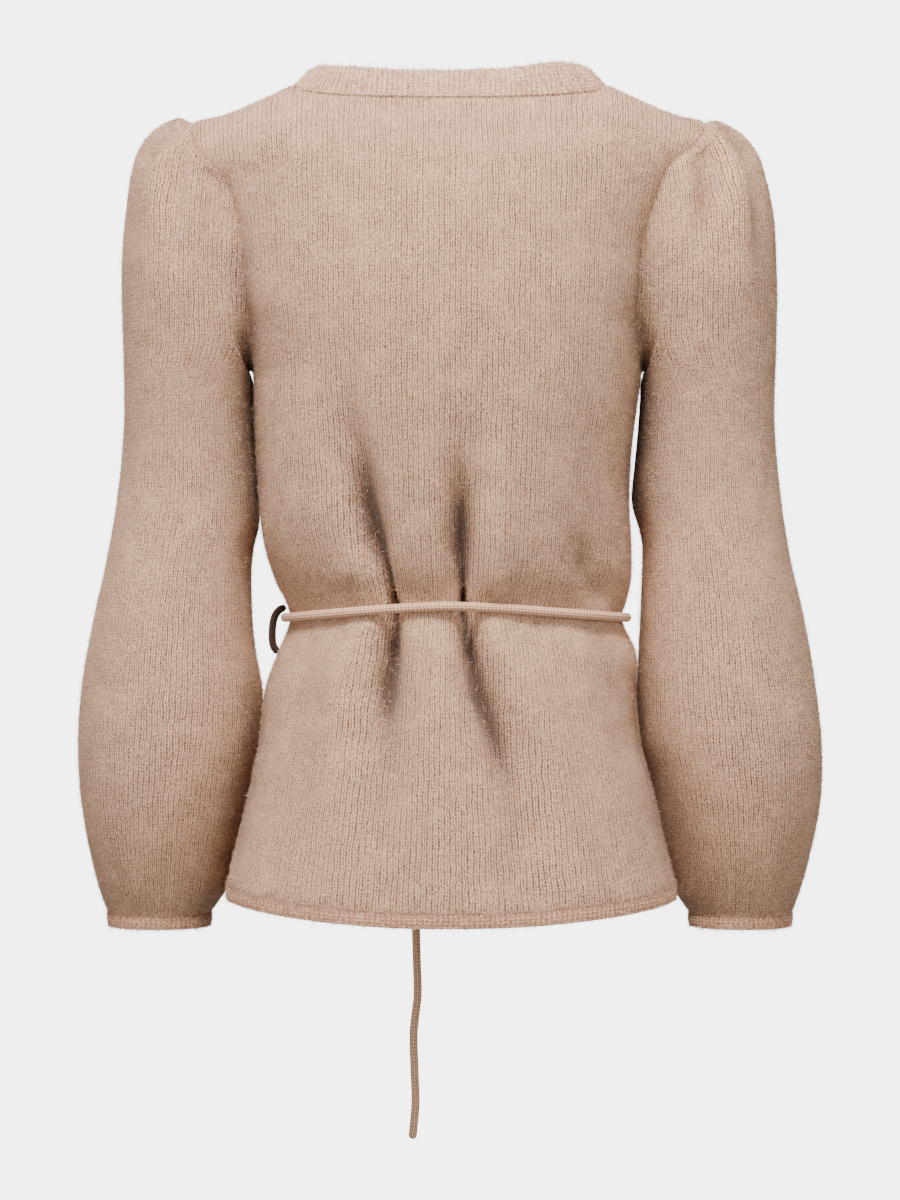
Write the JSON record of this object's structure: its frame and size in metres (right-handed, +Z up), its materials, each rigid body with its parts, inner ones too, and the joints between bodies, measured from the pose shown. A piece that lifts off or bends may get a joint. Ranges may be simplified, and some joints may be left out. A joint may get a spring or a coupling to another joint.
{
  "type": "wrap cardigan",
  "caption": "Wrap cardigan in brushed knit, filled out as if worn, with puffed sleeves gathered to narrow rib cuffs, a standing rib neckband and a round cord tied at the waist.",
  "frame": {"origin": "middle of the neck opening at the height of the shoulder tops, where the wearer's shoulders hold the garment", "axes": "+Z up, -Y the front, +X the wearer's left"},
  "size_m": [0.5358, 0.2624, 0.7892],
  "materials": {
    "wool_back": "brushed knit wool, soft and slightly fuzzy",
    "wool_front_left": "brushed knit wool, soft and slightly fuzzy",
    "wool_front_right": "brushed knit wool, soft and slightly fuzzy",
    "wool_sleeve_left": "brushed knit wool, soft and slightly fuzzy",
    "wool_sleeve_right": "brushed knit wool, soft and slightly fuzzy",
    "rib_neckband_back": "one by one rib knit",
    "rib_neckband_left": "one by one rib knit",
    "rib_neckband_right": "one by one rib knit",
    "rib_hem_back": "one by one rib knit",
    "rib_hem_left": "one by one rib knit",
    "rib_hem_right": "one by one rib knit",
    "rib_cuff_left": "one by one rib knit",
    "rib_cuff_right": "one by one rib knit",
    "cord_tie_waist": "round knitted cord",
    "cord_tie_end": "round knitted cord",
    "cord_tie_knot": "round knitted cord, knotted",
    "cord_carrier_loop": "round knitted cord"
  },
  "bodies": {
    "root": {"back": "wool_back", "front_left": "wool_front_left", "front_right": "wool_front_right", "sleeve_left": "wool_sleeve_left", "sleeve_right": "wool_sleeve_right", "neckband_back": "rib_neckband_back", "neckband_left": "rib_neckband_left", "neckband_right": "rib_neckband_right", "hem_back": "rib_hem_back", "hem_left": "rib_hem_left", "hem_right": "rib_hem_right", "cuff_left": "rib_cuff_left", "cuff_right": "rib_cuff_right", "tie_waist": "cord_tie_waist", "tie_end": "cord_tie_end", "tie_knot": "cord_tie_knot", "carrier_loop": "cord_carrier_loop"}
  },
  "joints": []
}
